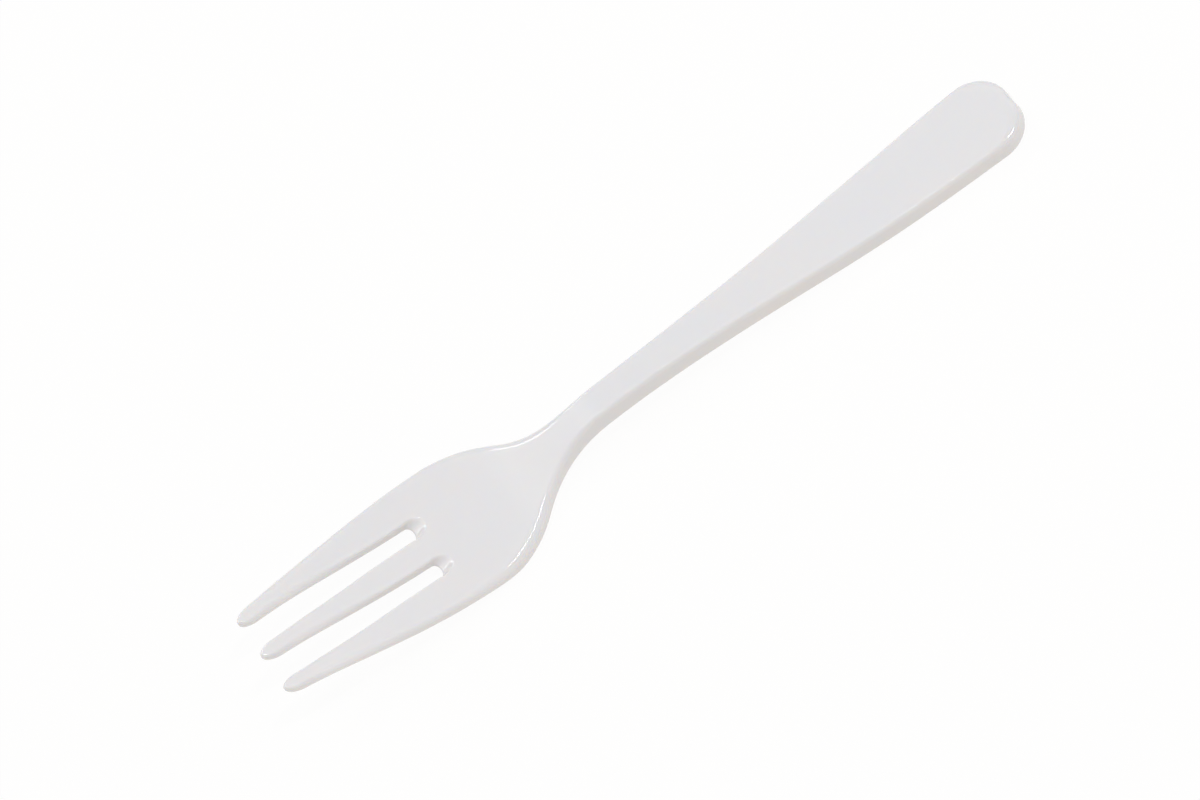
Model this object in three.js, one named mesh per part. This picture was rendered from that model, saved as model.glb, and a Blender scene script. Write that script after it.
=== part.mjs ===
// A three-tine plastic fork, moulded in one shot. Millimetres, +Z up.
// It lies at rest with its eating face up, on the heel of its bowl and the back of its handle.
// +X runs from the tine tips to the end of the handle. The origin is on the table, under mid-length.
import * as THREE from 'three';
import { mergeVertices } from 'three/addons/utils/BufferGeometryUtils.js';

// Lengths along the fork
const FORK_LENGTH = 150;
const TINE_LENGTH = 31.18;
const ROOT_TO_WIDEST = 6.21;
const WIDEST_TO_HEEL = 5.56;
const HEEL_FLAT_LENGTH = 3.5;
const WIDEST_TO_SHOULDER = 13.18;
const SHOULDER_TO_NECK = 16.23;
const NECK_TO_HANDLE = 3;
const FLARE_TO_END = 41.44;
const HANDLE_REST_LENGTH = 21.01;
const TIP_TO_SOFT_EDGE = 9;
const ROOT_TO_CRISP_EDGE = 6;
const END_EDGE_LENGTH = 9;

// Widths across the fork, over the lower edge
const TIP_SPAN = 18.02;
const HEAD_WIDTH = 26.49;
const SHOULDER_WIDTH = 15.98;
const NECK_WIDTH = 6.3;
const FLARE_WIDTH = 10.63;
const HANDLE_END_WIDTH = 15.33;
const HANDLE_END_FLAT = 1.97;
const MIDDLE_TIP_WIDTH = 2.96;
const MIDDLE_ROOT_WIDTH = 5.38;
const SLOT_MOUTH_WIDTH = 4.62;
const SLOT_ROOT_WIDTH = 3.26;

// Slopes of the sides where they don't run along the fork, as width gained for each unit of length
const TIP_SPREAD = 0.134;
const SHOULDER_TURN = -0.82;
const FLARE_SPREAD = 0.09;
const HANDLE_END_SPREAD = 0.02;
const MIDDLE_TIP_SPREAD = 0.044;

// Round ends in plan
const TIP_ROUND = 2.87;
const SLOT_ROOT_ROUND = 1.01;
const GATE_DIP_WIDTH = 4;
const GATE_DIP_DEPTH = 0.2;
const GATE_DIP_FADE = 4;

// Heights of the underside over the table, and its slopes
const TIP_RISE = 6.68;
const TIP_SLOPE = -0.143;
const NECK_RISE = 3.12;
const HEAD_DISH = 0.45;

// Wall thicknesses
const TIP_THICKNESS = 1.33;
const BOWL_THICKNESS = 1.97;
const NECK_THICKNESS = 3.3;
const HANDLE_THICKNESS = 3;

// Top fillets, the most that they go down, rounds under the walls, draft of the walls, ramp at the slot roots
const TIP_EDGE = 0.5;
const SOFT_TINE_EDGE = 1.4;
const SOFT_SLOT_EDGE = 1.15;
const TINE_EDGE = 0.8;
const SLOT_EDGE = 0.28;
const HEAD_EDGE = 1.5;
const SHOULDER_EDGE = 1.8;
const HANDLE_EDGE = 0.57;
const HANDLE_END_EDGE = 2.2;
const DEEPEST_EDGE = 0.68;
const DEEPEST_SHARE = 0.9;
const TIP_LOWER_EDGE = 0.4;
const TINE_LOWER_EDGE = 0.8;
const HANDLE_LOWER_EDGE = 0.3;
const WALL_DRAFT = THREE.MathUtils.degToRad(7);
const SLOT_ROOT_RAMP = 2.25;

// Steps of the mesh
const TIP_STEPS = 6;
const ROOT_STEPS = 6;
const CORNER_STEPS = 14;
const LANE_STEPS = 4;
const FILLET_STEPS = 5;
const LOWER_EDGE_STEPS = 3;
const FINE_STEP = 1.6;
const LONG_STEP = 4;

// Stations along the fork, counted from the tine tips
const rootRoundAt = TINE_LENGTH - SLOT_ROOT_ROUND;
const rootRampAt = TINE_LENGTH + SLOT_ROOT_RAMP + SLOT_EDGE + Math.tan(WALL_DRAFT) * BOWL_THICKNESS;
const widestAt = TINE_LENGTH + ROOT_TO_WIDEST;
const heelFrontAt = widestAt + WIDEST_TO_HEEL;
const heelBackAt = heelFrontAt + HEEL_FLAT_LENGTH;
const shoulderAt = widestAt + WIDEST_TO_SHOULDER;
const neckAt = shoulderAt + SHOULDER_TO_NECK;
const handleAt = neckAt + NECK_TO_HANDLE;
const flareAt = FORK_LENGTH - FLARE_TO_END;
const restAt = FORK_LENGTH - HANDLE_REST_LENGTH;
const crispEdgeAt = TINE_LENGTH - ROOT_TO_CRISP_EDGE;
const endEdgeAt = FORK_LENGTH - END_EDGE_LENGTH;
const endCornerRadius = (HANDLE_END_WIDTH - HANDLE_END_FLAT) / 2;
const endCornerAt = FORK_LENGTH - endCornerRadius;

// A smooth curve through knots of station, value and slope, level at a knot that gives no slope.
function smoothCurve(...knots) {
  const last = knots.length - 1;
  return (station) => {
    let k = 0;
    while (k < last - 1 && station > knots[k + 1][0]) k += 1;
    const [start, startValue, startSlope = 0] = knots[k];
    const [end, endValue, endSlope = 0] = knots[k + 1];
    const span = end - start;
    const t = THREE.MathUtils.clamp((station - start) / span, 0, 1);
    const blend = t * t * (3 - 2 * t);
    const lift = t * (1 - t) * span * ((1 - t) * startSlope - t * endSlope);
    return startValue + (endValue - startValue) * blend + lift;
  };
}

// Sides of the lower edge in plan, as distances from the middle line
const outerSide = smoothCurve(
  [0, TIP_SPAN / 2, TIP_SPREAD],
  [widestAt, HEAD_WIDTH / 2],
  [shoulderAt, SHOULDER_WIDTH / 2, SHOULDER_TURN],
  [neckAt, NECK_WIDTH / 2],
  [flareAt, FLARE_WIDTH / 2, FLARE_SPREAD],
  [FORK_LENGTH, HANDLE_END_WIDTH / 2, HANDLE_END_SPREAD],
);
const middleSide = smoothCurve(
  [0, MIDDLE_TIP_WIDTH / 2, MIDDLE_TIP_SPREAD],
  [TINE_LENGTH, MIDDLE_ROOT_WIDTH / 2],
);
const slotWidth = smoothCurve([0, SLOT_MOUTH_WIDTH], [TINE_LENGTH, SLOT_ROOT_WIDTH]);

// The underside as it lies on the table, the wall above it, and the rounds along its sides and slots
const underside = smoothCurve(
  [0, TIP_RISE, TIP_SLOPE],
  [heelFrontAt, 0],
  [heelBackAt, 0],
  [neckAt, NECK_RISE],
  [restAt, 0],
  [FORK_LENGTH, 0],
);
const thickness = smoothCurve(
  [0, TIP_THICKNESS],
  [TINE_LENGTH, BOWL_THICKNESS],
  [shoulderAt, BOWL_THICKNESS],
  [neckAt, NECK_THICKNESS],
  [flareAt, HANDLE_THICKNESS],
  [FORK_LENGTH, HANDLE_THICKNESS],
);
const dishShare = smoothCurve([TINE_LENGTH, 1], [heelFrontAt, 0]);
const sideEdge = smoothCurve(
  [0, TIP_EDGE],
  [TIP_TO_SOFT_EDGE, SOFT_TINE_EDGE],
  [rootRoundAt, TINE_EDGE],
  [widestAt, HEAD_EDGE],
  [shoulderAt, SHOULDER_EDGE],
  [handleAt, HANDLE_EDGE],
  [endEdgeAt, HANDLE_EDGE],
  [FORK_LENGTH, HANDLE_END_EDGE],
);
const slotEdge = smoothCurve(
  [0, TIP_EDGE],
  [TIP_TO_SOFT_EDGE, SOFT_SLOT_EDGE],
  [crispEdgeAt, SLOT_EDGE],
);
const lowerEdge = smoothCurve(
  [0, TIP_LOWER_EDGE],
  [TIP_TO_SOFT_EDGE, TINE_LOWER_EDGE],
  [widestAt, TINE_LOWER_EDGE],
  [heelFrontAt, HANDLE_LOWER_EDGE],
);

// The end of the handle dips in where the gate was cut off. The dip fades out across and along the handle.
const dipAcross = smoothCurve([0, GATE_DIP_DEPTH], [GATE_DIP_WIDTH / 2, 0]);
const dipAlong = smoothCurve([FORK_LENGTH - GATE_DIP_FADE, 0], [FORK_LENGTH, 1]);

// Share of a round end's half-width that is left at a distance into the round.
function roundEnd(distance, length) {
  const into = THREE.MathUtils.clamp(distance / length, 0, 1);
  return Math.sqrt(1 - into * into);
}

// Places a point of the fork at a share of the wall's height, with the head dished across.
function place(plan, share) {
  const dish = HEAD_DISH * dishShare(plan.x) * (plan.y / (HEAD_WIDTH / 2)) ** 2;
  const height = underside(plan.x) + dish + share * thickness(plan.x);
  const station = plan.x - dipAcross(Math.abs(plan.y)) * dipAlong(plan.x);
  return new THREE.Vector3(station - FORK_LENGTH / 2, plan.y, height);
}

// Stations from one place to another, without the first. The spacing bends the steps towards one end.
const evenly = (share) => share;
const closeAtStart = (share) => 1 - Math.cos(share * Math.PI / 2);
const closeAtEnd = (share) => Math.sin(share * Math.PI / 2);
function stretch(from, to, steps, spacing = evenly) {
  return Array.from({ length: steps }, (_, k) => from + (to - from) * spacing((k + 1) / steps));
}
function paced(from, to, pace) {
  return stretch(from, to, Math.max(1, Math.round((to - from) / pace)));
}

const tineStations = [
  0,
  ...stretch(0, TIP_ROUND, TIP_STEPS, closeAtStart),
  ...paced(TIP_ROUND, rootRoundAt, FINE_STEP),
];
const slotStations = [...tineStations, ...stretch(rootRoundAt, TINE_LENGTH, ROOT_STEPS, closeAtEnd)];
const sideStations = [...tineStations, ...stretch(rootRoundAt, rootRampAt, ROOT_STEPS)];
const bodyStations = [
  ...paced(rootRampAt, widestAt, FINE_STEP),
  ...paced(widestAt, heelFrontAt, FINE_STEP),
  ...paced(heelFrontAt, heelBackAt, FINE_STEP),
  ...paced(heelBackAt, neckAt, FINE_STEP),
  ...paced(neckAt, restAt, LONG_STEP),
  ...paced(restAt, endCornerAt, LONG_STEP),
  ...stretch(endCornerAt, FORK_LENGTH, CORNER_STEPS, closeAtEnd),
];

// Points of the lower edge carry the fillet above them and the extra run of the wall below it.
function edgePoint(station, offset, fillet, ramp = 0) {
  return { plan: new THREE.Vector2(station, offset), fillet, ramp };
}

// The tip of a tine closes round its own middle line.
function tineSide(station, near, far, towards) {
  const half = (far - near) / 2 * roundEnd(TIP_ROUND - station, TIP_ROUND);
  return (near + far) / 2 + towards * half;
}

// The slots close round their own middle line, on a ramp that is longest at the root.
function slotSides(station) {
  const axis = middleSide(station) + slotWidth(station) / 2;
  const open = roundEnd(station - rootRoundAt, SLOT_ROOT_ROUND);
  const half = slotWidth(station) / 2 * open;
  return { inner: axis - half, outer: axis + half, ramp: SLOT_ROOT_RAMP * (1 - open * open) };
}

// Behind the slots the side runs on to the round corner at the end of the handle.
function bodySide(station) {
  const corner = 1 - roundEnd(station - endCornerAt, endCornerRadius);
  return outerSide(station) - endCornerRadius * corner;
}

// The half of the lower edge on one side of the middle line: outer side, slot's outer side, its inner side.
function halfEdge(hand) {
  const outer = [];
  const slotOuter = [];
  const slotInner = [];
  for (const station of sideStations) {
    const offset = tineSide(station, slotSides(station).outer, outerSide(station), 1);
    outer.push(edgePoint(station, hand * offset, sideEdge(station)));
  }
  for (const station of slotStations) {
    const { inner, outer: beyond, ramp } = slotSides(station);
    const beyondOffset = tineSide(station, beyond, outerSide(station), -1);
    const innerOffset = tineSide(station, -inner, inner, 1);
    slotOuter.push(edgePoint(station, hand * beyondOffset, slotEdge(station), ramp));
    slotInner.push(edgePoint(station, hand * innerOffset, slotEdge(station), ramp));
  }
  slotOuter[0] = outer[0];
  slotInner[slotInner.length - 1] = slotOuter[slotOuter.length - 1];
  for (const station of bodyStations) {
    outer.push(edgePoint(station, hand * bodySide(station), sideEdge(station)));
  }
  return { outer, slotOuter, slotInner };
}

const left = halfEdge(1);
const right = halfEdge(-1);
right.slotInner[0] = left.slotInner[0];

// The end of the handle, in steps for the lane of each tine
const lanes = ['left', 'middle', 'right'];
const endSteps = lanes.length * LANE_STEPS;
const endFlat = left.outer[left.outer.length - 1].plan.y;
const endEdge = Array.from({ length: endSteps + 1 }, (_, k) => {
  return edgePoint(FORK_LENGTH, endFlat * (1 - 2 * k / endSteps), HANDLE_END_EDGE);
});
endEdge[0] = left.outer[left.outer.length - 1];
endEdge[endSteps] = right.outer[right.outer.length - 1];

// The whole lower edge as one loop, anticlockwise from above, each meeting point once
const loop = [
  ...left.outer.toReversed(),
  ...left.slotOuter.slice(1),
  ...left.slotInner.toReversed().slice(1),
  ...right.slotInner.slice(1),
  ...right.slotOuter.toReversed().slice(1),
  ...right.outer.slice(1),
  ...endEdge.toReversed().slice(1, -1),
];

// The outward side of the loop at a point. The nearer of its two neighbours counts for more.
function outwardAt(point, before, after) {
  const ahead = after.plan.clone().sub(point.plan);
  const behind = point.plan.clone().sub(before.plan);
  const along = ahead.divideScalar(ahead.lengthSq()).add(behind.divideScalar(behind.lengthSq()));
  return new THREE.Vector2(along.y, -along.x).normalize();
}

// The section of the edge from the top face down: fillet, drafted wall, round into the underside.
// The fillet is part of an ellipse that touches the top face and the wall.
// Each point of the section is a place in plan and a share of the wall's height.
function edgeSection(point, before, after) {
  const outward = outwardAt(point, before, after);
  const wall = thickness(point.plan.x);
  const low = lowerEdge(point.plan.x);
  const face = wall - low;
  const run = Math.tan(WALL_DRAFT) * face + point.ramp;
  const depth = Math.min(point.fillet / face, DEEPEST_EDGE / face, DEEPEST_SHARE);
  const at = (inset, height) => {
    return { plan: point.plan.clone().addScaledVector(outward, -inset), share: height / wall };
  };
  const fillet = Array.from({ length: FILLET_STEPS + 1 }, (_, k) => {
    const turn = k / FILLET_STEPS * Math.PI / 2;
    const down = depth * (1 - Math.cos(turn));
    return at(run * (1 - down) + point.fillet * (1 - Math.sin(turn)), wall - face * down);
  });
  const lower = Array.from({ length: LOWER_EDGE_STEPS + 1 }, (_, k) => {
    const turn = k / LOWER_EDGE_STEPS * Math.PI / 2;
    return at(low * (1 - Math.cos(turn)), low * (1 - Math.sin(turn)));
  });
  return [...fillet, ...lower];
}
loop.forEach((point, k) => {
  point.section = edgeSection(point, loop.at(k - 1), loop[(k + 1) % loop.length]);
});

// The top and lower faces are made of the lanes, which meet behind the slots.
const laneSteps = Array.from({ length: LANE_STEPS + 1 }, (_, k) => k);
const faceEdges = [
  { share: 1, pick: (point) => point.section[0].plan },
  { share: 0, pick: (point) => point.section.at(-1).plan },
];

// The line behind a slot where two lanes meet, from the slot's root to a point of the handle's end.
function seam(root, end, pick) {
  const from = pick(root);
  const to = pick(end);
  const rootShare = from.y / outerSide(rootRampAt);
  const points = bodyStations.slice(0, -1).map((station) => {
    const share = (station - rootRampAt) / (FORK_LENGTH - rootRampAt);
    return new THREE.Vector2(THREE.MathUtils.lerp(from.x, to.x, share), rootShare * bodySide(station));
  });
  return [...points, to];
}

// Each lane lies between two lines that run from a tine's tip to the end of the handle.
function laneLines(pick) {
  const leftSeam = seam(left.slotOuter.at(-1), endEdge[LANE_STEPS], pick);
  const rightSeam = seam(right.slotOuter.at(-1), endEdge[2 * LANE_STEPS], pick);
  return [
    [left.outer.map(pick), [...left.slotOuter.map(pick), ...leftSeam]],
    [[...left.slotInner.map(pick), ...leftSeam], [...right.slotInner.map(pick), ...rightSeam]],
    [[...right.slotOuter.map(pick), ...rightSeam], right.outer.map(pick)],
  ];
}

function faceRows({ share, pick }) {
  return laneLines(pick).map(([from, to], lane) => {
    const across = (start, row) => laneSteps.map((k) => start.clone().lerp(to[row], k / LANE_STEPS));
    const rows = from.map(across);
    rows[rows.length - 1] = laneSteps.map((k) => pick(endEdge[lane * LANE_STEPS + k]));
    return rows.map((row) => row.map((plan) => place(plan, share)));
  });
}

// Two triangles for each cell between neighbouring rows of points
function skin(rows, flip) {
  const corners = [];
  for (let i = 0; i + 1 < rows.length; i += 1) {
    for (let j = 0; j + 1 < rows[i].length; j += 1) {
      const [a, b, c, d] = [rows[i][j], rows[i][j + 1], rows[i + 1][j + 1], rows[i + 1][j]];
      corners.push(...(flip ? [a, c, b, a, d, c] : [a, b, c, a, c, d]));
    }
  }
  return corners;
}

function forkGeometry() {
  const rim = [...loop, loop[0]].map((point) => point.section.map(({ plan, share }) => place(plan, share)));
  const corners = skin(rim, false);
  faceEdges.forEach((face) => {
    faceRows(face).forEach((rows) => corners.push(...skin(rows, face.share === 0)));
  });
  const welded = mergeVertices(new THREE.BufferGeometry().setFromPoints(corners));
  const { index } = welded;
  const kept = [];
  for (let k = 0; k < index.count; k += 3) {
    const [a, b, c] = [index.getX(k), index.getX(k + 1), index.getX(k + 2)];
    if (a !== b && b !== c && c !== a) kept.push(a, b, c);
  }
  welded.setIndex(kept);
  welded.computeVertexNormals();
  return welded;
}

const whitePlastic = new THREE.MeshStandardMaterial({ color: 0xecebed, roughness: 0.25, metalness: 0 });
const fork = new THREE.Mesh(forkGeometry(), whitePlastic);
fork.name = 'fork';

const group = new THREE.Group();
group.add(fork);

export default group;
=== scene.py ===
"""A white three-tine plastic fork lying on a pale table, as one moulded piece. Metres, +Z up."""

import math

import bpy
import numpy as np
from mathutils import Matrix, Vector


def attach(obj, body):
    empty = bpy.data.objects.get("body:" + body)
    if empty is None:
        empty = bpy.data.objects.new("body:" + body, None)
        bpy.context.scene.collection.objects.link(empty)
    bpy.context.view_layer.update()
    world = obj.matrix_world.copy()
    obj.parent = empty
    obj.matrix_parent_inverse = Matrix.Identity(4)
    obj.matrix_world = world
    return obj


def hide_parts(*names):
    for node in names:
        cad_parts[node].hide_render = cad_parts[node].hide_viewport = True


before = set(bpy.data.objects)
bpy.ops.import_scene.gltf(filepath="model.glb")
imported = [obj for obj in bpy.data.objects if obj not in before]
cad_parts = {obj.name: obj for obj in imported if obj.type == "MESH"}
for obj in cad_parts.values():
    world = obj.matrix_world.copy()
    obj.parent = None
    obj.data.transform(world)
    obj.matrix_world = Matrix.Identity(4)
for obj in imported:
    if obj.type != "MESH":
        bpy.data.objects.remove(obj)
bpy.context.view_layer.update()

MM = 0.001

# Lengths along the fork. A size is in millimetres where nothing else is said.
FORK_LENGTH = 150.0
TINE_LENGTH = 31.18
ROOT_TO_WIDEST = 6.21
WIDEST_TO_HEEL = 5.56
HEEL_FLAT_LENGTH = 3.5
WIDEST_TO_SHOULDER = 13.18
SHOULDER_TO_NECK = 16.23
NECK_TO_HANDLE = 3.0
FLARE_TO_END = 41.44
HANDLE_REST_LENGTH = 21.01
TIP_TO_SOFT_EDGE = 9.0
ROOT_TO_CRISP_EDGE = 6.0
END_EDGE_LENGTH = 9.0

# Widths across the fork, over the lower edge
TIP_SPAN = 18.02
HEAD_WIDTH = 26.49
SHOULDER_WIDTH = 15.98
NECK_WIDTH = 6.3
FLARE_WIDTH = 10.63
HANDLE_END_WIDTH = 15.33
HANDLE_END_FLAT = 1.97
MIDDLE_TIP_WIDTH = 2.96
MIDDLE_ROOT_WIDTH = 5.38
SLOT_MOUTH_WIDTH = 4.62
SLOT_ROOT_WIDTH = 3.26

# Slopes of the sides where they don't run along the fork
TIP_SPREAD = 0.134
SHOULDER_TURN = -0.82
FLARE_SPREAD = 0.09
HANDLE_END_SPREAD = 0.02
MIDDLE_TIP_SPREAD = 0.044

# Round ends in plan, and the dip where the gate was cut off
TIP_ROUND = 2.87
SLOT_ROOT_ROUND = 1.01
GATE_DIP_WIDTH = 4.0
GATE_DIP_DEPTH = 0.2
GATE_DIP_FADE = 4.0

# Heights of the underside over the table, its slope at the tips, and the depth of the dish
TIP_RISE = 6.68
TIP_SLOPE = -0.143
NECK_RISE = 3.12
HEAD_DISH = 0.45

# Wall thicknesses
TIP_THICKNESS = 1.33
BOWL_THICKNESS = 1.97
NECK_THICKNESS = 3.3
HANDLE_THICKNESS = 3.0

# Top fillets, the rounds under the walls, the deepest that a fillet goes, the draft of the walls,
# and the ramp at the slot roots
TIP_EDGE = 0.5
SOFT_TINE_EDGE = 1.4
SOFT_SLOT_EDGE = 1.15
TINE_EDGE = 0.8
SLOT_EDGE = 0.28
HEAD_EDGE = 1.5
SHOULDER_EDGE = 1.8
HANDLE_EDGE = 0.57
HANDLE_END_EDGE = 2.2
TIP_LOWER_EDGE = 0.4
TINE_LOWER_EDGE = 0.8
HANDLE_LOWER_EDGE = 0.3
DEEPEST_EDGE = 0.68
DEEPEST_SHARE = 0.9
WALL_DRAFT = math.radians(7.0)
SLOT_ROOT_RAMP = 2.25

# Tines, steps of the surface, and the distance at which two corners become one
TINES = 3
TIP_STEPS = 16
ROOT_STEPS = 16
CORNER_STEPS = 36
LANE_STEPS = 14
FILLET_STEPS = 10
WALL_STEPS = 4
LOWER_EDGE_STEPS = 4
TINE_PACE = 0.5
BODY_PACE = 0.8
MEETING_DISTANCE = 0.0001

# White plastic: two whites in cloudy patches, uneven polish, a faint ripple, and light that
# soaks in. A pattern is given by its patches to the metre and its detail.
COOL_WHITE = (0.815, 0.822, 0.845, 1.0)
WARM_WHITE = (0.832, 0.825, 0.833, 1.0)
CLOUD_PATTERN = (55.0, 3.0)
POLISH_PATTERN = (140.0, 4.0)
RIPPLE_PATTERN = (320.0, 2.0)
PATTERN_SPAN = (0.3, 0.7)
POLISH_SPAN = (0.06, 0.1)
RIPPLE_STRENGTH = 0.35
RIPPLE_HEIGHT = 0.04
PLASTIC_IOR = 1.59
SOAK_SHARE = 0.5
SOAK_COLOURS = (1.0, 0.8, 0.6)
SOAK_DEPTH = 1.2

# Table: its reach each way, its drop under the fork, how white it looks to the camera and in
# reflections, and the light that it gives by itself
TABLE_REACH = 2000.0
TABLE_DROP = 0.02
TABLE_COLOUR = (0.97, 0.935, 0.89, 1.0)
PURE_WHITE = (1.0, 1.0, 1.0, 1.0)
SEEN_WHITE = 0.94
MIRRORED_WHITE = 0.5
TABLE_GLOW = 0.9
TABLE_GLOW_SHARE = 0.5

# Room: levels and tints from the back horizon (0) over the top to the front one (1), and a window
COOL_LIGHT = (0.98, 0.995, 1.03)
WARM_LIGHT = (1.0, 0.96, 0.915)
ROOM_LEVELS = (
    (0.0, 0.50, COOL_LIGHT),
    (0.17, 0.60, COOL_LIGHT),
    (0.24, 1.25, COOL_LIGHT),
    (0.33, 1.30, COOL_LIGHT),
    (0.42, 0.85, COOL_LIGHT),
    (0.55, 0.72, COOL_LIGHT),
    (0.70, 0.86, WARM_LIGHT),
    (0.85, 1.15, WARM_LIGHT),
    (1.0, 1.30, WARM_LIGHT),
)
ROOM_STRENGTH = 0.635
WINDOW_TOWARDS = (-0.42, 0.50, 0.757)
WINDOW_EDGE = (0.89, 0.99)
WINDOW_COLOUR = (1.0, 0.97, 0.93, 1.0)
WINDOW_STRENGTH = 1.5

# Lamps: name, place, length along the fork and breadth in metres, and watts
LAMPS = (
    ("ceiling_strip", (-0.04, 0.24, 0.97), 0.34, 0.04, 0.70),
    ("back_strip", (-0.30, 0.75, 0.59), 0.60, 0.10, 1.00),
    ("right_lamp", (0.50, -0.05, 0.885), 0.24, 0.04, 2.00),
)

# Camera: lens, film, the width that it sees at the fork, its height and roll, and its steps aside
LENS = 200.0
FILM_WIDTH = 36.0
SEEN_WIDTH = 192.78
CAMERA_HEIGHT = math.radians(57.26)
CAMERA_ROLL = math.radians(-37.92)
CAMERA_RIGHT = -7.48
CAMERA_UP = -1.88
NEAREST_SEEN = 10.0
FARTHEST_SEEN = 20000.0

# Stations along the fork, counted from the tine tips
root_round_at = TINE_LENGTH - SLOT_ROOT_ROUND
root_ramp_at = TINE_LENGTH + SLOT_ROOT_RAMP + SLOT_EDGE + math.tan(WALL_DRAFT) * BOWL_THICKNESS
widest_at = TINE_LENGTH + ROOT_TO_WIDEST
heel_front_at = widest_at + WIDEST_TO_HEEL
heel_back_at = heel_front_at + HEEL_FLAT_LENGTH
shoulder_at = widest_at + WIDEST_TO_SHOULDER
neck_at = shoulder_at + SHOULDER_TO_NECK
handle_at = neck_at + NECK_TO_HANDLE
flare_at = FORK_LENGTH - FLARE_TO_END
rest_at = FORK_LENGTH - HANDLE_REST_LENGTH
end_edge_at = FORK_LENGTH - END_EDGE_LENGTH
crisp_edge_at = TINE_LENGTH - ROOT_TO_CRISP_EDGE
end_corner_radius = (HANDLE_END_WIDTH - HANDLE_END_FLAT) / 2
end_corner_at = FORK_LENGTH - end_corner_radius


def smooth_curve(*knots):
    """A curve through knots of station, value and slope, level at a knot that gives no slope.

    Between two knots it is the start value plus the rise times t squared times (3 - 2t), plus the
    lift t(1 - t) times the span times ((1 - t) times the start slope - t times the end slope).
    """
    at, value, slope = np.array([(*knot, 0.0)[:3] for knot in knots]).T

    def curve(station):
        k = np.searchsorted(at[1:-1], station)
        span = at[k + 1] - at[k]
        t = np.clip((station - at[k]) / span, 0.0, 1.0)
        lift = t * (1 - t) * span * ((1 - t) * slope[k] - t * slope[k + 1])
        return value[k] + (value[k + 1] - value[k]) * t * t * (3 - 2 * t) + lift

    return curve


# Sides of the lower edge in plan, as distances from the middle line
outer_side = smooth_curve(
    (0.0, TIP_SPAN / 2, TIP_SPREAD),
    (widest_at, HEAD_WIDTH / 2),
    (shoulder_at, SHOULDER_WIDTH / 2, SHOULDER_TURN),
    (neck_at, NECK_WIDTH / 2),
    (flare_at, FLARE_WIDTH / 2, FLARE_SPREAD),
    (FORK_LENGTH, HANDLE_END_WIDTH / 2, HANDLE_END_SPREAD),
)
middle_side = smooth_curve(
    (0.0, MIDDLE_TIP_WIDTH / 2, MIDDLE_TIP_SPREAD),
    (TINE_LENGTH, MIDDLE_ROOT_WIDTH / 2),
)
slot_width = smooth_curve((0.0, SLOT_MOUTH_WIDTH), (TINE_LENGTH, SLOT_ROOT_WIDTH))

# The underside over the table, the wall above it, and the fillets along the sides and slots
underside = smooth_curve(
    (0.0, TIP_RISE, TIP_SLOPE),
    (heel_front_at, 0.0),
    (heel_back_at, 0.0),
    (neck_at, NECK_RISE),
    (rest_at, 0.0),
    (FORK_LENGTH, 0.0),
)
thickness = smooth_curve(
    (0.0, TIP_THICKNESS),
    (TINE_LENGTH, BOWL_THICKNESS),
    (shoulder_at, BOWL_THICKNESS),
    (neck_at, NECK_THICKNESS),
    (flare_at, HANDLE_THICKNESS),
    (FORK_LENGTH, HANDLE_THICKNESS),
)
dish_share = smooth_curve((TINE_LENGTH, 1.0), (heel_front_at, 0.0))
side_edge = smooth_curve(
    (0.0, TIP_EDGE),
    (TIP_TO_SOFT_EDGE, SOFT_TINE_EDGE),
    (root_round_at, TINE_EDGE),
    (widest_at, HEAD_EDGE),
    (shoulder_at, SHOULDER_EDGE),
    (handle_at, HANDLE_EDGE),
    (end_edge_at, HANDLE_EDGE),
    (FORK_LENGTH, HANDLE_END_EDGE),
)
slot_edge = smooth_curve(
    (0.0, TIP_EDGE),
    (TIP_TO_SOFT_EDGE, SOFT_SLOT_EDGE),
    (crisp_edge_at, SLOT_EDGE),
)
lower_edge = smooth_curve(
    (0.0, TIP_LOWER_EDGE),
    (TIP_TO_SOFT_EDGE, TINE_LOWER_EDGE),
    (widest_at, TINE_LOWER_EDGE),
    (heel_front_at, HANDLE_LOWER_EDGE),
)
dip_across = smooth_curve((0.0, GATE_DIP_DEPTH), (GATE_DIP_WIDTH / 2, 0.0))
dip_along = smooth_curve((FORK_LENGTH - GATE_DIP_FADE, 0.0), (FORK_LENGTH, 1.0))


def round_end(distance, length):
    """Share of the width left in a round end: the root of 1 less the squared share of its length."""
    return np.sqrt(1.0 - np.clip(distance / length, 0.0, 1.0) ** 2)


def place(plan, share):
    """Plan points at a share of the wall, in metres.

    The height is the underside, plus the dish times the offset squared, plus the share of the
    thickness. The station falls back by the gate's dip.
    """
    station, offset = plan[..., 0], plan[..., 1]
    dish = HEAD_DISH * dish_share(station) * (offset / (HEAD_WIDTH / 2)) ** 2
    height = underside(station) + dish + share * thickness(station)
    along = station - dip_across(np.abs(offset)) * dip_along(station) - FORK_LENGTH / 2
    return np.stack([along, offset, height], axis=-1) * MM


def paced(start, stop, pace):
    """Even stations from start to stop, without the first, about one pace apart."""
    return np.linspace(start, stop, max(1, round((stop - start) / pace)) + 1)[1:]


def bent(start, stop, steps, closer_at_start):
    """Stations without the first, at 1 less the cosine of a quarter turn, or at its sine."""
    turn = np.linspace(0.0, np.pi / 2, steps + 1)[1:]
    share = 1.0 - np.cos(turn) if closer_at_start else np.sin(turn)
    return start + (stop - start) * share


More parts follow.
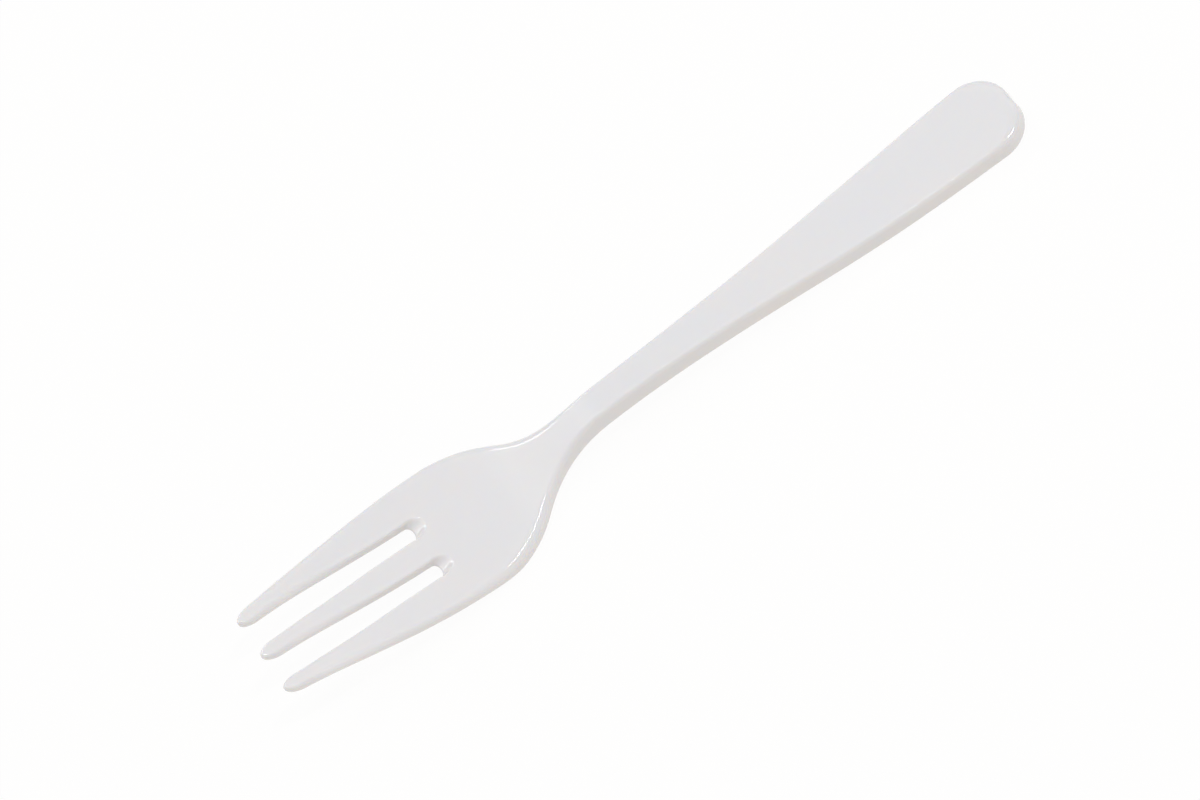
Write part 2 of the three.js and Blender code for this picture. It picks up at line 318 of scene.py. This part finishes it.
def fork_stations():
    """Stations of a slot, of the side beside it, and of the body behind it."""
    tine = np.concatenate([
        [0.0],
        bent(0.0, TIP_ROUND, TIP_STEPS, True),
        paced(TIP_ROUND, root_round_at, TINE_PACE),
    ])
    slot = np.concatenate([tine, bent(root_round_at, TINE_LENGTH, ROOT_STEPS, False)])
    side = np.concatenate([tine, np.linspace(root_round_at, root_ramp_at, ROOT_STEPS + 1)[1:]])
    body = np.concatenate([
        paced(root_ramp_at, end_corner_at, BODY_PACE),
        bent(end_corner_at, FORK_LENGTH, CORNER_STEPS, False),
    ])
    return slot, side, body


def tine_side(station, near, far, towards):
    """The side of a tine: its middle line plus half its width, closed by the round of its tip."""
    half = (far - near) / 2 * round_end(TIP_ROUND - station, TIP_ROUND)
    return (near + far) / 2 + towards * half


def slot_sides(station):
    """Both sides of a slot and its ramp.

    A side is the slot's middle line plus or minus half its width, closed by the round of its root.
    The ramp grows as the slot closes.
    """
    axis = middle_side(station) + slot_width(station) / 2
    left_open = round_end(station - root_round_at, SLOT_ROOT_ROUND)
    half = slot_width(station) / 2 * left_open
    return axis - half, axis + half, SLOT_ROOT_RAMP * (1.0 - left_open ** 2)


def body_side(station):
    """The side behind the slots: the outer side less the radius that the end corner takes off."""
    corner = 1.0 - round_end(station - end_corner_at, end_corner_radius)
    return outer_side(station) - end_corner_radius * corner


def lower_edge_runs(slot, side, body):
    """Runs of the lower edge on one side, each as station, offset, fillet and ramp."""
    offset = tine_side(side, slot_sides(side)[1], outer_side(side), 1)
    outer = np.concatenate([
        np.stack([side, offset, side_edge(side), np.zeros_like(side)], axis=-1),
        np.stack([body, body_side(body), side_edge(body), np.zeros_like(body)], axis=-1),
    ])
    inner, beyond, ramp = slot_sides(slot)
    beyond_offset = tine_side(slot, beyond, outer_side(slot), -1)
    inner_offset = tine_side(slot, -inner, inner, 1)
    slot_outer = np.stack([slot, beyond_offset, slot_edge(slot), ramp], axis=-1)
    slot_inner = np.stack([slot, inner_offset, slot_edge(slot), ramp], axis=-1)
    return outer, slot_outer, slot_inner


def lower_edge_loop(slot, side, body):
    """The lower edge as one closed run, anticlockwise from above, and the place of each part."""
    outer, slot_outer, slot_inner = lower_edge_runs(slot, side, body)
    other_hand = np.array([1.0, -1.0, 1.0, 1.0])
    end_steps = TINES * LANE_STEPS
    end_offset = np.linspace(outer[-1, 1], -outer[-1, 1], end_steps + 1)
    end_station = np.full_like(end_offset, FORK_LENGTH)
    end_edge = np.full_like(end_offset, HANDLE_END_EDGE)
    end = np.stack([end_station, end_offset, end_edge, np.zeros_like(end_edge)], axis=-1)
    loop = np.concatenate([
        outer[::-1],
        slot_outer[1:],
        slot_inner[::-1][1:],
        (slot_inner * other_hand)[1:],
        (slot_outer * other_hand)[::-1][1:],
        (outer * other_hand)[1:],
        end[::-1][1:-1],
    ])
    sides, slots = np.arange(len(outer)), np.arange(len(slot))
    tip, hop = len(outer) - 1, len(slot) - 1
    last = 2 * tip + 4 * hop
    parts = {
        "left_outer": tip - sides,
        "left_slot_outer": tip + slots,
        "left_slot_inner": tip + 2 * hop - slots,
        "right_slot_inner": tip + 2 * hop + slots,
        "right_slot_outer": tip + 4 * hop - slots,
        "right_outer": tip + 4 * hop + sides,
        "end": (last + end_steps - np.arange(end_steps + 1)) % len(loop),
    }
    return loop, parts


def edge_section(loop):
    """The edge carried round the loop: top fillet, drafted wall, small round into the underside.

    Every point moves in from the lower edge along the plan normal. The wall is a straight line up
    to the corner under the top face, the fillet a quarter ellipse that touches the face and the
    wall, and the lower round a quarter circle. Gives plan points and wall shares.
    """
    plan, fillet, ramp = loop[:, :2], loop[:, 2:3], loop[:, 3:4]
    ahead, behind = np.roll(plan, -1, axis=0) - plan, plan - np.roll(plan, 1, axis=0)
    along = ahead / (ahead ** 2).sum(axis=-1, keepdims=True)
    along += behind / (behind ** 2).sum(axis=-1, keepdims=True)
    outward = np.stack([along[:, 1], -along[:, 0]], axis=-1)
    outward /= np.linalg.norm(along, axis=-1, keepdims=True)
    wall = thickness(plan[:, :1])
    low = lower_edge(plan[:, :1])
    face = wall - low
    run = math.tan(WALL_DRAFT) * face + ramp
    depth = np.minimum(np.minimum(fillet, DEEPEST_EDGE) / face, DEEPEST_SHARE)
    turn = np.linspace(0.0, np.pi / 2, FILLET_STEPS + 1)[None]
    steps_down = (1.0 - np.cos(np.linspace(0.0, np.pi, WALL_STEPS + 1)[1:-1]))[None] / 2
    under = np.linspace(0.0, np.pi / 2, LOWER_EDGE_STEPS + 1)[None]
    down = np.concatenate([
        depth * (1.0 - np.cos(turn)),
        depth + (1.0 - depth) * steps_down,
    ], axis=1)
    back = np.pad(fillet * (1.0 - np.sin(turn)), ((0, 0), (0, WALL_STEPS - 1)))
    inset = np.concatenate([
        run * (1.0 - down) + back,
        low * (1.0 - np.cos(under)),
    ], axis=1)
    height = np.concatenate([
        wall - face * down,
        low * (1.0 - np.sin(under)),
    ], axis=1)
    return plan[:, None] - outward[:, None] * inset[..., None], height / wall


def seam(edge, root, end, body):
    """The line behind a slot: even steps from its root to the end, at a fixed share of the side."""
    share = (body - root_ramp_at) / (FORK_LENGTH - root_ramp_at)
    station = edge[root, 0] + (edge[end, 0] - edge[root, 0]) * share
    offset = edge[root, 1] / outer_side(root_ramp_at) * body_side(body)
    return np.concatenate([np.stack([station, offset], axis=-1)[:-1], edge[end][None]])


def face_lanes(edge, parts, body):
    """One grid of plan points for each tine's lane, straight across between its two sides.

    The steps across follow half of 1 less the cosine, so that they are close beside the fillets.
    """
    end = parts["end"]
    left_seam = seam(edge, parts["left_slot_outer"][-1], end[LANE_STEPS], body)
    right_seam = seam(edge, parts["right_slot_outer"][-1], end[2 * LANE_STEPS], body)
    lines = [
        edge[parts["left_outer"]],
        np.concatenate([edge[parts["left_slot_outer"]], left_seam]),
        np.concatenate([edge[parts["left_slot_inner"]], left_seam]),
        np.concatenate([edge[parts["right_slot_inner"]], right_seam]),
        np.concatenate([edge[parts["right_slot_outer"]], right_seam]),
        edge[parts["right_outer"]],
    ]
    across = (1.0 - np.cos(np.linspace(0.0, np.pi, LANE_STEPS + 1)))[None, :, None] / 2
    lanes = []
    for lane in range(TINES):
        start, stop = lines[2 * lane][:, None], lines[2 * lane + 1][:, None]
        grid = start + (stop - start) * across
        grid[-1] = edge[end[lane * LANE_STEPS:(lane + 1) * LANE_STEPS + 1]]
        lanes.append(grid)
    return lanes


def cells(grid, flip):
    """Corner points of every cell of a grid, the other way round for a face seen from below."""
    corners = [grid[:-1, :-1], grid[:-1, 1:], grid[1:, 1:], grid[1:, :-1]]
    if flip:
        corners = corners[::-1]
    return np.stack(corners, axis=2).reshape(-1, 4, 3)


def fork_cells():
    """All cells of the fork's skin: the edge round the loop, the top face and the lower face."""
    slot, side, body = fork_stations()
    loop, parts = lower_edge_loop(slot, side, body)
    plan, share = edge_section(loop)
    rim = place(plan, share)
    skin = [cells(np.concatenate([rim, rim[:1]]), False)]
    for column, height in ((0, 1.0), (-1, 0.0)):
        for lane in face_lanes(plan[:, column], parts, body):
            skin.append(cells(place(lane, height), height == 0.0))
    return np.concatenate(skin)


def moulded_piece(name, quads):
    """A smooth mesh from cell corners.

    Corners that meet become one, and a cell that closes to a line at a tip keeps three corners.
    """
    flat = quads.reshape(-1, 3)
    places = np.round(flat / (MEETING_DISTANCE * MM))
    _, first, corner = np.unique(places, axis=0, return_index=True, return_inverse=True)
    corner = corner.reshape(-1, 4)
    kept = corner != np.roll(corner, 1, axis=1)
    count = kept.sum(axis=1)
    kept, corner, count = kept[count > 2], corner[count > 2], count[count > 2]
    mesh = bpy.data.meshes.new(name)
    mesh.vertices.add(len(first))
    mesh.vertices.foreach_set("co", flat[first].ravel())
    mesh.loops.add(int(count.sum()))
    mesh.loops.foreach_set("vertex_index", corner[kept])
    mesh.polygons.add(len(count))
    mesh.polygons.foreach_set("loop_start", np.cumsum(count) - count)
    mesh.polygons.foreach_set("use_smooth", np.ones(len(count), dtype=bool))
    mesh.update(calc_edges=True)
    mesh.validate()
    piece = bpy.data.objects.new(name, mesh)
    bpy.context.scene.collection.objects.link(piece)
    return piece


def cloudy(tree, patches, detail):
    """A cloudy pattern on the piece's own coordinates, from 0 to 1."""
    where = tree.nodes.new("ShaderNodeTexCoord")
    noise = tree.nodes.new("ShaderNodeTexNoise")
    noise.inputs["Scale"].default_value = patches
    noise.inputs["Detail"].default_value = detail
    tree.links.new(where.outputs["Object"], noise.inputs["Vector"])
    return noise.outputs["Fac"]


def spread(tree, value, span, reach=(0.0, 1.0), curve="LINEAR"):
    """A number taken from its span to a new reach, and held at the ends."""
    node = tree.nodes.new("ShaderNodeMapRange")
    node.interpolation_type = curve
    for end, number in zip(("From Min", "From Max", "To Min", "To Max"), (*span, *reach)):
        node.inputs[end].default_value = number
    tree.links.new(value, node.inputs["Value"])
    return node.outputs["Result"]


def worked_out(tree, operation, *terms):
    """One number worked out from plain numbers and from what other nodes give."""
    node = tree.nodes.new("ShaderNodeMath")
    node.operation = operation
    for socket, term in zip(node.inputs, terms):
        if isinstance(term, float):
            socket.default_value = term
        else:
            tree.links.new(term, socket)
    return node.outputs["Value"]


def shining(tree, kind, colour, strength=1.0):
    """Light of one colour and strength, from a surface or from the room."""
    node = tree.nodes.new(kind)
    node.inputs["Color"].default_value = colour
    node.inputs["Strength"].default_value = strength
    return node.outputs[0]


def mixed(tree, share, first, second):
    """The first look where the share is 0, the second where it is 1."""
    node = tree.nodes.new("ShaderNodeMixShader")
    for socket, given in zip(node.inputs, (share, first, second)):
        tree.links.new(given, socket)
    return node.outputs["Shader"]


def white_plastic_finish():
    """Glossy white polystyrene: cloudy cooler and warmer whites, with a faint moulded ripple."""
    finish = bpy.data.materials.new("glossy_white_plastic")
    finish.use_nodes = True
    tree = finish.node_tree
    nodes, links = tree.nodes, tree.links
    shader = nodes["Principled BSDF"].inputs

    whites = nodes.new("ShaderNodeValToRGB")
    for stop, at, white in zip(whites.color_ramp.elements, PATTERN_SPAN, (COOL_WHITE, WARM_WHITE)):
        stop.position = at
        stop.color = white
    links.new(cloudy(tree, *CLOUD_PATTERN), whites.inputs["Fac"])
    links.new(whites.outputs["Color"], shader["Base Color"])

    polish = spread(tree, cloudy(tree, *POLISH_PATTERN), PATTERN_SPAN, POLISH_SPAN)
    links.new(polish, shader["Roughness"])

    ripple = nodes.new("ShaderNodeBump")
    ripple.inputs["Strength"].default_value = RIPPLE_STRENGTH
    ripple.inputs["Distance"].default_value = RIPPLE_HEIGHT * MM
    links.new(cloudy(tree, *RIPPLE_PATTERN), ripple.inputs["Height"])
    links.new(ripple.outputs["Normal"], shader["Normal"])

    shader["IOR"].default_value = PLASTIC_IOR
    shader["Subsurface Weight"].default_value = SOAK_SHARE
    shader["Subsurface Radius"].default_value = SOAK_COLOURS
    shader["Subsurface Scale"].default_value = SOAK_DEPTH * MM
    return finish


def table_finish():
    """Matt table top, nearly pure white to the camera and half as much in reflections.

    The camera sees a little of the matt top with the fork's shadow on it. Towards the fork the top
    gives a share of its light by itself, about as bright as where the room lights it, so that the
    slots aren't dark.
    """
    finish = bpy.data.materials.new("matt_table_top")
    finish.use_nodes = True
    tree = finish.node_tree
    tree.nodes.clear()
    out = tree.nodes.new("ShaderNodeOutputMaterial")
    matt = tree.nodes.new("ShaderNodeBsdfDiffuse")
    matt.inputs["Color"].default_value = TABLE_COLOUR
    ray = tree.nodes.new("ShaderNodeLightPath").outputs
    seen = ray["Is Camera Ray"]
    own_share = worked_out(tree, "MULTIPLY_ADD", seen, -TABLE_GLOW_SHARE, TABLE_GLOW_SHARE)
    own_light = shining(tree, "ShaderNodeEmission", TABLE_COLOUR, TABLE_GLOW)
    lit = mixed(tree, own_share, matt.outputs["BSDF"], own_light)
    bounced = worked_out(tree, "ADD", ray["Is Glossy Ray"], ray["Is Transmission Ray"])
    mirrored = worked_out(tree, "MULTIPLY", bounced, MIRRORED_WHITE)
    white_share = worked_out(tree, "MULTIPLY_ADD", seen, SEEN_WHITE, mirrored)
    white = shining(tree, "ShaderNodeEmission", PURE_WHITE)
    tree.links.new(mixed(tree, white_share, lit, white), out.inputs["Surface"])
    return finish


def pale_table():
    """A wide level table just under the fork: one square from minus to plus its reach."""
    across = np.array([-TABLE_REACH, TABLE_REACH]) * MM
    grid = np.stack(np.meshgrid(across, across, [-TABLE_DROP * MM], indexing="ij"), axis=-1)
    corners = grid[[0, 1, 1, 0], [0, 0, 1, 1], 0]
    mesh = bpy.data.meshes.new("pale_table")
    mesh.from_pydata(corners.tolist(), [], [(0, 1, 2, 3)])
    mesh.materials.append(table_finish())
    table = bpy.data.objects.new("pale_table", mesh)
    bpy.context.scene.collection.objects.link(table)


def set_up(name, thing, place_at, right, up, back):
    """Set up a lamp or a camera at a place, turned to its right, up and back directions."""
    holder = bpy.data.objects.new(name, thing)
    bpy.context.scene.collection.objects.link(holder)
    turn = Matrix((right, up, back)).transposed()
    holder.matrix_world = Matrix.Translation(place_at) @ turn.to_4x4()
    return holder


def soft_lamp(name, place_at, length, breadth, watts):
    """A white oblong lamp that faces the fork, with its length along the fork."""
    lamp = bpy.data.lights.new(name, "AREA")
    lamp.shape = "RECTANGLE"
    lamp.size = length
    lamp.size_y = breadth
    lamp.energy = watts
    away = Vector(place_at).normalized()
    across = away.cross(Vector((1.0, 0.0, 0.0))).normalized()
    set_up(name, lamp, place_at, across.cross(away), across, away)


def studio_light():
    """A pale room with a soft window at the back left, white to the camera, and three lamps.

    The room's level follows the angle over the fork: the arc tangent of height over depth, as a
    share of a half turn. The window opens where a direction lies close to its own.
    """
    world = bpy.data.worlds.new("pale_room")
    bpy.context.scene.world = world
    world.use_nodes = True
    tree = world.node_tree
    nodes, links = tree.nodes, tree.links
    where = nodes.new("ShaderNodeTexCoord").outputs["Generated"]

    parts = nodes.new("ShaderNodeSeparateXYZ")
    links.new(where, parts.inputs["Vector"])
    over = worked_out(tree, "ARCTAN2", parts.outputs["Z"], parts.outputs["Y"])
    levels = nodes.new("ShaderNodeValToRGB")
    ramp = levels.color_ramp
    while len(ramp.elements) < len(ROOM_LEVELS):
        ramp.elements.new(0.5)
    for stop, (at, level, tint) in zip(ramp.elements, ROOM_LEVELS):
        stop.position = at
        stop.color = (*(level * part for part in tint), 1.0)
    links.new(spread(tree, over, (0.0, math.pi)), levels.inputs["Fac"])
    room = nodes["Background"]
    room.inputs["Strength"].default_value = ROOM_STRENGTH
    links.new(levels.outputs["Color"], room.inputs["Color"])

    towards = nodes.new("ShaderNodeVectorMath")
    towards.operation = "DOT_PRODUCT"
    towards.inputs[1].default_value = WINDOW_TOWARDS
    links.new(where, towards.inputs[0])
    pane = spread(tree, towards.outputs["Value"], WINDOW_EDGE, curve="SMOOTHSTEP")
    window = shining(tree, "ShaderNodeBackground", WINDOW_COLOUR, WINDOW_STRENGTH)
    lit_room = mixed(tree, pane, room.outputs["Background"], window)

    seen = nodes.new("ShaderNodeLightPath").outputs["Is Camera Ray"]
    backdrop = shining(tree, "ShaderNodeBackground", PURE_WHITE)
    links.new(mixed(tree, seen, lit_room, backdrop), nodes["World Output"].inputs["Surface"])

    for lamp in LAMPS:
        soft_lamp(*lamp)


def photo_camera():
    """A long lens in front of and above the fork, rolled so that the handle points up to the right.

    Its distance is the width that it sees times the lens over the film.
    """
    camera = bpy.data.cameras.new("photo_camera")
    camera.lens = LENS
    camera.sensor_width = FILM_WIDTH
    camera.clip_start = NEAREST_SEEN * MM
    camera.clip_end = FARTHEST_SEEN * MM
    back = Vector((0.0, -math.cos(CAMERA_HEIGHT), math.sin(CAMERA_HEIGHT)))
    level = Vector((1.0, 0.0, 0.0))
    rise = back.cross(level)
    right = level * math.cos(CAMERA_ROLL) + rise * math.sin(CAMERA_ROLL)
    up = rise * math.cos(CAMERA_ROLL) - level * math.sin(CAMERA_ROLL)
    distance = SEEN_WIDTH * LENS / FILM_WIDTH
    eye = (right * CAMERA_RIGHT + up * CAMERA_UP + back * distance) * MM
    bpy.context.scene.camera = set_up("photo_camera", camera, eye, right, up, back)


fork = moulded_piece("moulded_fork", fork_cells())
fork.data.materials.append(white_plastic_finish())
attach(fork, "root")
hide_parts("fork")

pale_table()
studio_light()
photo_camera()
bpy.context.scene.view_settings.view_transform = "Standard"
